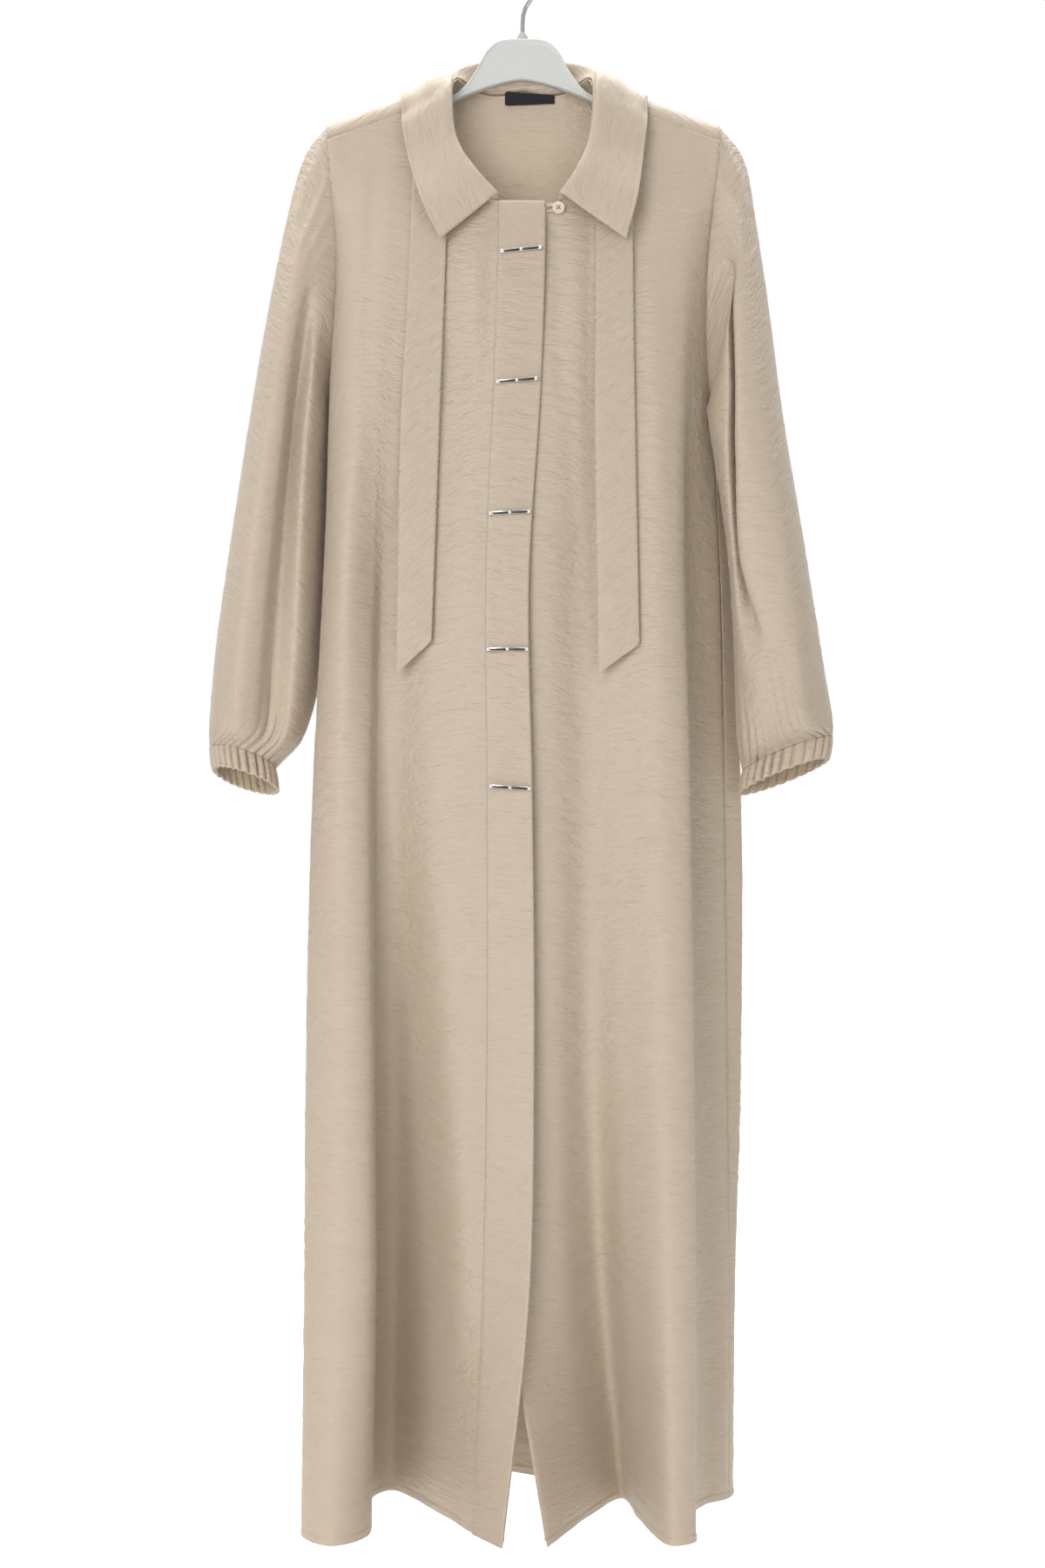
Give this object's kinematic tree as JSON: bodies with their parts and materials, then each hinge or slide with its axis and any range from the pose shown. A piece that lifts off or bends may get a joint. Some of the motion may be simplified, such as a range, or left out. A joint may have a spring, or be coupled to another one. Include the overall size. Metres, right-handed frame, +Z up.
{
  "type": "abaya cloak on a hanger",
  "caption": "Long-sleeved, full-length abaya in crinkled satin with a pointed collar, a covered front placket and gathered cuffs, hung on a plain hanger.",
  "frame": {"origin": "inner top of the hanger hook's bend, where a rail carries it", "axes": "+Z up, -Y out of the garment's front, +X to the wearer's left"},
  "size_m": [0.6027, 0.2332, 1.5011],
  "materials": {
    "crinkled_satin": "beige satin with fine crosswise crinkles and a soft sheen",
    "polished_bar": "polished pale metal",
    "pearly_button": "pearly beige",
    "black_label": "black woven ribbon",
    "hanger_plastic": "satin moulded pale grey",
    "hook_wire": "plated steel wire"
  },
  "bodies": {
    "root": {"right_front": "crinkled_satin", "left_front": "crinkled_satin", "back": "crinkled_satin", "placket": "crinkled_satin", "collar": "crinkled_satin", "right_tie": "crinkled_satin", "left_tie": "crinkled_satin", "right_sleeve": "crinkled_satin", "left_sleeve": "crinkled_satin", "right_cuff": "crinkled_satin", "left_cuff": "crinkled_satin", "button_loop": "crinkled_satin", "bar_1": "polished_bar", "bar_2": "polished_bar", "bar_3": "polished_bar", "bar_4": "polished_bar", "bar_5": "polished_bar", "button": "pearly_button", "neck_label": "black_label", "hanger": "hanger_plastic", "hook": "hook_wire"}
  },
  "joints": []
}
